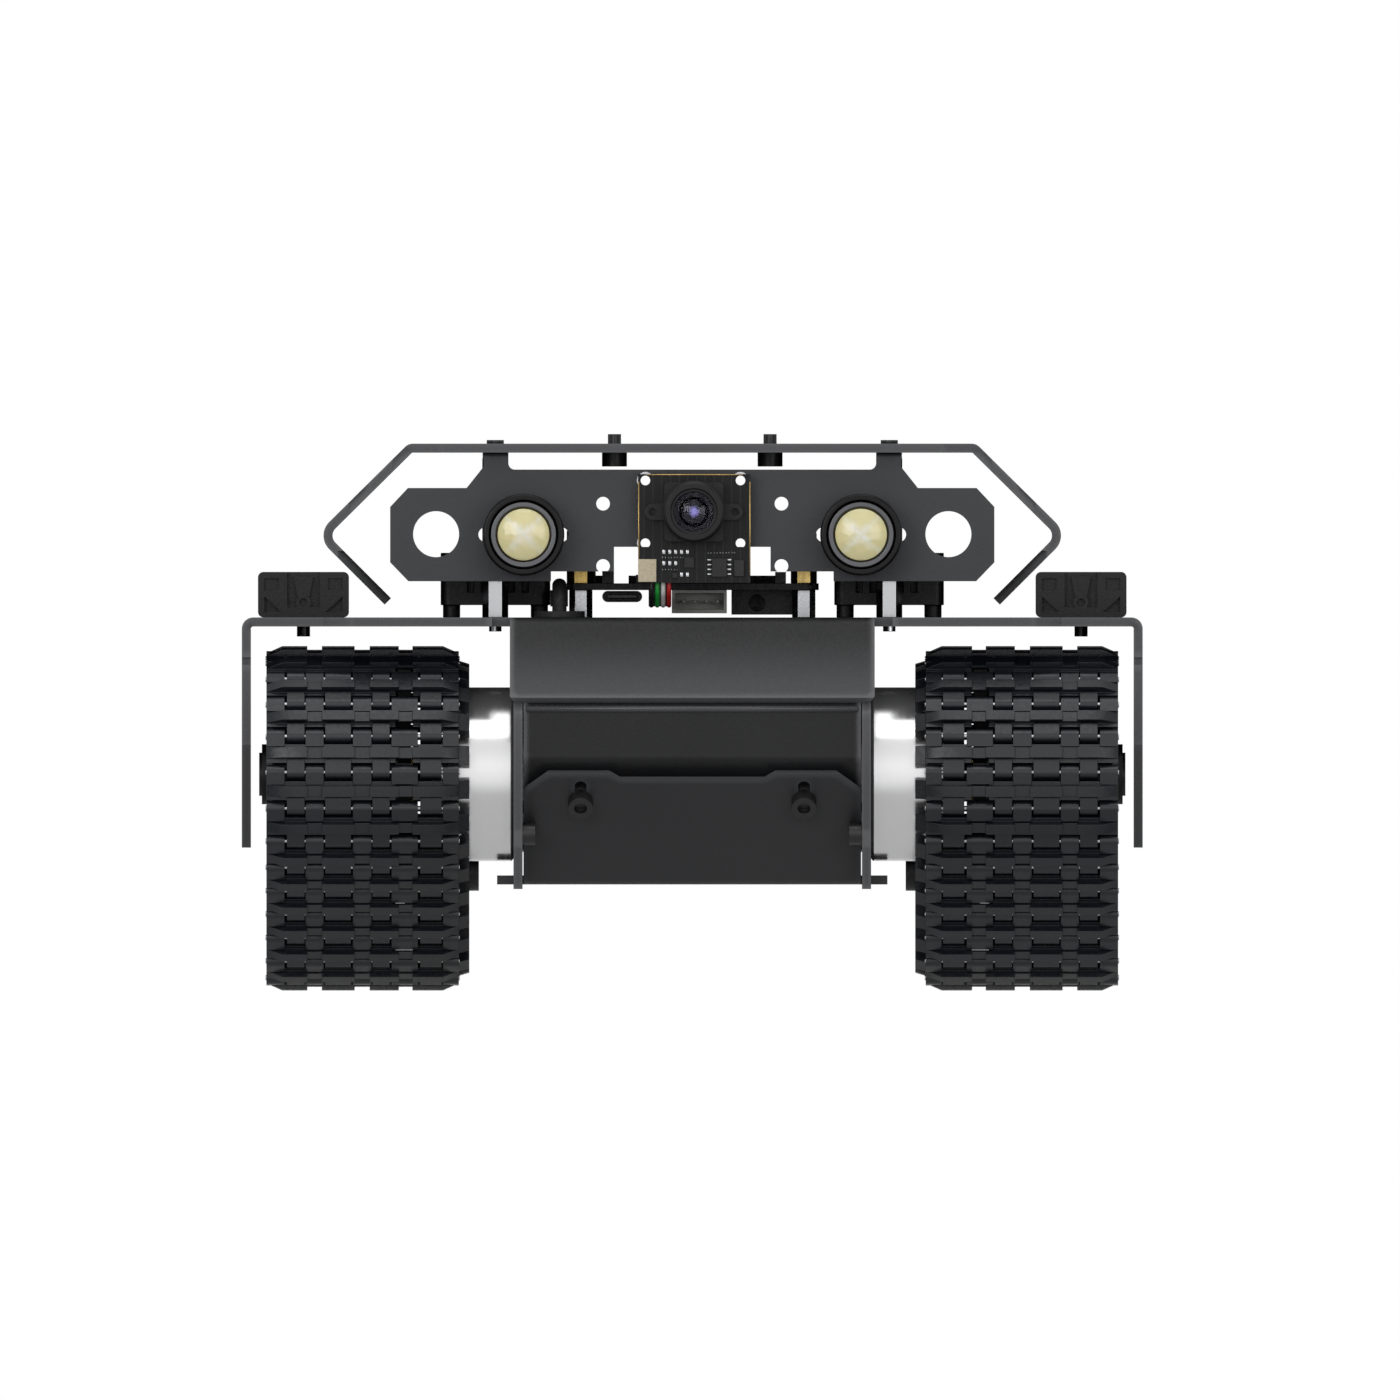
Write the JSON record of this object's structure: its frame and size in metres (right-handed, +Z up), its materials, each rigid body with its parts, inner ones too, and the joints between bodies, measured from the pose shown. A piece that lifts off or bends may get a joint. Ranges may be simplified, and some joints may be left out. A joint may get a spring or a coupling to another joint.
{
  "type": "tracked robot chassis",
  "caption": "Small tracked robot chassis of black folded sheet with a raised roof plate, side rails, two round headlights and a board camera.",
  "frame": {"origin": "centre of the bounding box's bottom face, on the ground", "axes": "+Z up, +X to the machine's left-right axis, front faces -Y"},
  "size_m": [0.198, 0.232, 0.1223],
  "materials": {
    "black_sheet": "satin powder coat",
    "black_anodised": "black anodised, satin",
    "black_steel": "black oxide",
    "polished_steel": "polished",
    "zinc_steel": "satin zinc",
    "brass": "machined",
    "track_plastic": "moulded, satin",
    "wheel_plastic": "moulded, matt",
    "black_plastic": "moulded, matt",
    "lamp_housing": "black anodised",
    "lamp_ring": "turned, grey",
    "lamp_lens": "cream, glossy",
    "camera_glass": "coated",
    "board_black": "black solder mask",
    "chip_black": "moulded",
    "wafer_grey": "moulded",
    "cell_wrap": "shrink wrap",
    "wire_colours": "insulation"
  },
  "bodies": {
    "root": {"deck_plate": "black_sheet", "hull_sides": "black_sheet", "hull_end_plates": "black_sheet", "hull_bottom_pan": "black_sheet", "screws": "black_steel", "roof_plate": "black_sheet", "roof_standoffs": "black_anodised", "rails": "black_anodised", "rail_end_caps": "black_plastic", "gearboxes": "polished_steel", "motors": "zinc_steel", "side_frames": "black_sheet", "frame_spacers": "black_anodised", "wheel_axles": "black_steel", "camera_panel": "black_sheet", "headlight_bodies": "lamp_housing", "headlight_rings": "lamp_ring", "headlight_lenses": "lamp_lens", "camera_board": "board_black", "camera_chips": "chip_black", "camera_metal_parts": "zinc_steel", "camera_lens_mount": "black_plastic", "camera_lens_barrel": "black_anodised", "camera_lens": "camera_glass", "camera_wires": "wire_colours", "driver_board": "board_black", "board_standoffs": "zinc_steel", "board_risers": "brass", "board_sockets": "zinc_steel", "board_parts": "black_plastic", "wafer_socket": "wafer_grey", "speaker_boxes": "black_plastic", "battery_holder": "black_plastic", "battery_cells": "cell_wrap", "motor_lead": "black_plastic", "power_switch_body": "black_plastic", "charging_socket": "zinc_steel", "track_left": "track_plastic", "track_pins_left": "zinc_steel", "track_right": "track_plastic", "track_pins_right": "zinc_steel"},
    "drive_left": {"drive_shaft_left": "brass", "drive_sprocket_left": "wheel_plastic"},
    "idler_left": {"idler_wheel_left": "wheel_plastic"},
    "bogie_front_left": {"bogie_front_left": "black_anodised"},
    "bogie_rear_left": {"bogie_rear_left": "black_anodised"},
    "wheel_1_left": {"road_wheel_1_left": "wheel_plastic"},
    "wheel_2_left": {"road_wheel_2_left": "wheel_plastic"},
    "wheel_3_left": {"road_wheel_3_left": "wheel_plastic"},
    "wheel_4_left": {"road_wheel_4_left": "wheel_plastic"},
    "drive_right": {"drive_shaft_right": "brass", "drive_sprocket_right": "wheel_plastic"},
    "idler_right": {"idler_wheel_right": "wheel_plastic"},
    "bogie_front_right": {"bogie_front_right": "black_anodised"},
    "bogie_rear_right": {"bogie_rear_right": "black_anodised"},
    "wheel_1_right": {"road_wheel_1_right": "wheel_plastic"},
    "wheel_2_right": {"road_wheel_2_right": "wheel_plastic"},
    "wheel_3_right": {"road_wheel_3_right": "wheel_plastic"},
    "wheel_4_right": {"road_wheel_4_right": "wheel_plastic"},
    "rocker": {"power_switch_rocker": "black_plastic"}
  },
  "joints": [
    {"name": "drive_left_spin", "type": "hinge", "parent": "root", "child": "drive_left", "pos_m": [-0.079, -0.08829, 0.04754], "axis": [1, 0, 0], "continuous": true, "deforming": ["track_left", "track_pins_left"]},
    {"name": "idler_left_spin", "type": "hinge", "parent": "root", "child": "idler_left", "pos_m": [-0.079, 0.08829, 0.04754], "axis": [1, 0, 0], "continuous": true},
    {"name": "bogie_front_left_rock", "type": "hinge", "parent": "root", "child": "bogie_front_left", "pos_m": [-0.06241, -0.04649, 0.0264], "axis": [1, 0, 0], "range_deg": [-3, 3]},
    {"name": "wheel_1_left_spin", "type": "hinge", "parent": "bogie_front_left", "child": "wheel_1_left", "pos_m": [-0.079, -0.06974, 0.0157], "axis": [1, 0, 0], "continuous": true},
    {"name": "wheel_2_left_spin", "type": "hinge", "parent": "bogie_front_left", "child": "wheel_2_left", "pos_m": [-0.079, -0.02325, 0.0157], "axis": [1, 0, 0], "continuous": true},
    {"name": "bogie_rear_left_rock", "type": "hinge", "parent": "root", "child": "bogie_rear_left", "pos_m": [-0.06241, 0.04649, 0.0264], "axis": [1, 0, 0], "range_deg": [-3, 3]},
    {"name": "wheel_3_left_spin", "type": "hinge", "parent": "bogie_rear_left", "child": "wheel_3_left", "pos_m": [-0.079, 0.02325, 0.0157], "axis": [1, 0, 0], "continuous": true},
    {"name": "wheel_4_left_spin", "type": "hinge", "parent": "bogie_rear_left", "child": "wheel_4_left", "pos_m": [-0.079, 0.06974, 0.0157], "axis": [1, 0, 0], "continuous": true},
    {"name": "drive_right_spin", "type": "hinge", "parent": "root", "child": "drive_right", "pos_m": [0.079, -0.08829, 0.04754], "axis": [1, 0, 0], "continuous": true, "deforming": ["track_right", "track_pins_right"]},
    {"name": "idler_right_spin", "type": "hinge", "parent": "root", "child": "idler_right", "pos_m": [0.079, 0.08829, 0.04754], "axis": [1, 0, 0], "continuous": true},
    {"name": "bogie_front_right_rock", "type": "hinge", "parent": "root", "child": "bogie_front_right", "pos_m": [0.06241, -0.04649, 0.0264], "axis": [1, 0, 0], "range_deg": [-3, 3]},
    {"name": "wheel_1_right_spin", "type": "hinge", "parent": "bogie_front_right", "child": "wheel_1_right", "pos_m": [0.079, -0.06974, 0.0157], "axis": [1, 0, 0], "continuous": true},
    {"name": "wheel_2_right_spin", "type": "hinge", "parent": "bogie_front_right", "child": "wheel_2_right", "pos_m": [0.079, -0.02325, 0.0157], "axis": [1, 0, 0], "continuous": true},
    {"name": "bogie_rear_right_rock", "type": "hinge", "parent": "root", "child": "bogie_rear_right", "pos_m": [0.06241, 0.04649, 0.0264], "axis": [1, 0, 0], "range_deg": [-3, 3]},
    {"name": "wheel_3_right_spin", "type": "hinge", "parent": "bogie_rear_right", "child": "wheel_3_right", "pos_m": [0.079, 0.02325, 0.0157], "axis": [1, 0, 0], "continuous": true},
    {"name": "wheel_4_right_spin", "type": "hinge", "parent": "bogie_rear_right", "child": "wheel_4_right", "pos_m": [0.079, 0.06974, 0.0157], "axis": [1, 0, 0], "continuous": true},
    {"name": "power_switch_rock", "type": "hinge", "parent": "root", "child": "rocker", "pos_m": [-0.02, 0.10918, 0.07304], "axis": [0, 0.5457, -0.838], "range_deg": [0, 18]}
  ],
  "couplings": [
    {"joint": "idler_left_spin", "follows": "drive_left_spin", "ratio": 1},
    {"joint": "wheel_1_left_spin", "follows": "drive_left_spin", "ratio": 1.9588},
    {"joint": "wheel_2_left_spin", "follows": "drive_left_spin", "ratio": 1.9588},
    {"joint": "wheel_3_left_spin", "follows": "drive_left_spin", "ratio": 1.9588},
    {"joint": "wheel_4_left_spin", "follows": "drive_left_spin", "ratio": 1.9588},
    {"joint": "idler_right_spin", "follows": "drive_right_spin", "ratio": 1},
    {"joint": "wheel_1_right_spin", "follows": "drive_right_spin", "ratio": 1.9588},
    {"joint": "wheel_2_right_spin", "follows": "drive_right_spin", "ratio": 1.9588},
    {"joint": "wheel_3_right_spin", "follows": "drive_right_spin", "ratio": 1.9588},
    {"joint": "wheel_4_right_spin", "follows": "drive_right_spin", "ratio": 1.9588}
  ]
}
